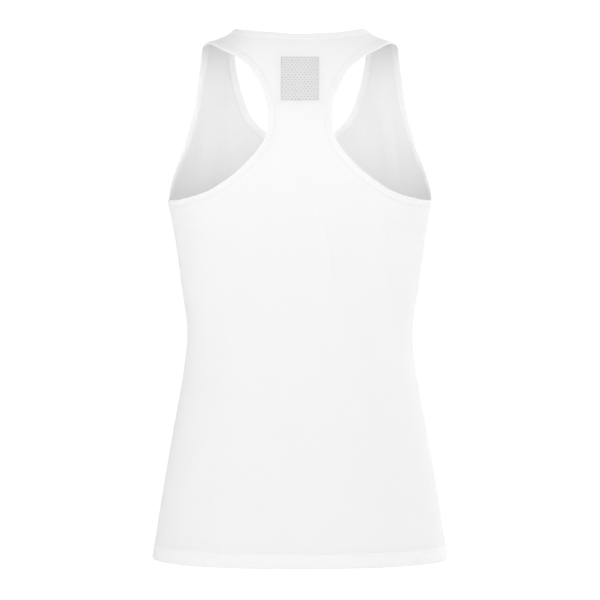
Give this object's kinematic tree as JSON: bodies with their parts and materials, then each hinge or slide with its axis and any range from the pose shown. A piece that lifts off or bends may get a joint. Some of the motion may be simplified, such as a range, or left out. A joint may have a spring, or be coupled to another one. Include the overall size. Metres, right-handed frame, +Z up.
{
  "type": "running singlet",
  "caption": "Women's running singlet, filled out and hollow: racerback with a mesh vent, scoop neck, bound neck and armholes, flared turned-up hem.",
  "frame": {"origin": "where the wearer's shoulders hold the singlet: midway between the high shoulder points, where the neck opening crosses the shoulder seams", "axes": "+Z up, -Y out of the front of the garment, +X towards the wearer's left"},
  "size_m": [0.3428, 0.2362, 0.6142],
  "materials": {
    "cloth": "matt white polyester knit",
    "mesh": "matt white open mesh knit",
    "binding": "smooth matt white folded knit binding"
  },
  "bodies": {
    "root": {"front_panel": "cloth", "back_panel": "cloth", "back_vent": "mesh", "neck_binding": "binding", "armhole_binding_left": "binding", "armhole_binding_right": "binding"}
  },
  "joints": []
}
